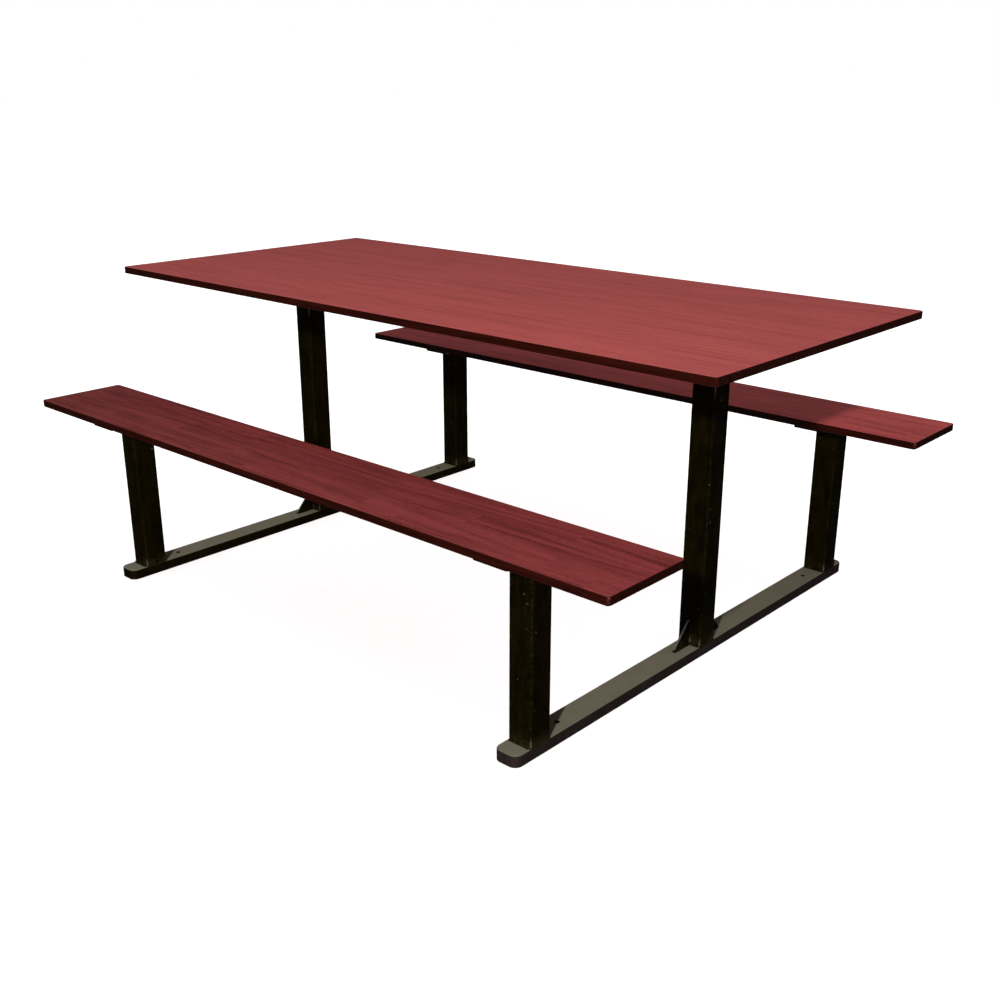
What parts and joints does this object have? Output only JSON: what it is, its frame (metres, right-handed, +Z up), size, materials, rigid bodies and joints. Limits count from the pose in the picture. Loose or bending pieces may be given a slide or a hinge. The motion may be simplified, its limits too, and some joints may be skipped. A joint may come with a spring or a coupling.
{
  "type": "picnic table",
  "caption": "Rectangular picnic table with two fixed benches: thin wooden panels on two welded steel end frames with square posts and flat floor rails.",
  "frame": {"origin": "middle of the table at floor level, midway between the end frames and between the benches", "axes": "+X along the table towards the right-hand end frame, +Y from the front bench to the rear bench, +Z up"},
  "size_m": [1.88, 1.395, 0.762],
  "materials": {
    "top_wood": "satin red mahogany stain over long fine grain",
    "bench_wood": "satin red mahogany stain, darker, with arched grain and staggered stave joints",
    "post_steel": "semi-gloss black-brown powder coat, lightly weathered",
    "rail_steel": "dark powder coat, worn matt grey-olive on the top face",
    "hidden_steel": "semi-gloss black powder coat",
    "screw_steel": "zinc-plated, slightly dulled"
  },
  "bodies": {
    "root": {"bench_angle_front": "hidden_steel", "bench_angle_rear": "hidden_steel", "bench_angle_screws_front": "screw_steel", "bench_angle_screws_rear": "screw_steel", "bench_front": "bench_wood", "bench_plate_front_left": "hidden_steel", "bench_plate_front_right": "hidden_steel", "bench_plate_rear_left": "hidden_steel", "bench_plate_rear_right": "hidden_steel", "bench_plate_screws_front": "screw_steel", "bench_plate_screws_rear": "screw_steel", "bench_post_front_left": "post_steel", "bench_post_front_right": "post_steel", "bench_post_rear_left": "post_steel", "bench_post_rear_right": "post_steel", "bench_rear": "bench_wood", "floor_rail_left": "rail_steel", "floor_rail_right": "rail_steel", "post_gusset_front_left": "post_steel", "post_gusset_front_right": "post_steel", "post_gusset_rear_left": "post_steel", "post_gusset_rear_right": "post_steel", "table_post_left": "post_steel", "table_post_right": "post_steel", "table_top": "top_wood", "top_angle_front": "hidden_steel", "top_angle_rear": "hidden_steel", "top_angle_screws": "screw_steel", "top_bearer_left": "hidden_steel", "top_bearer_right": "hidden_steel", "top_bearer_screws": "screw_steel"}
  },
  "joints": []
}
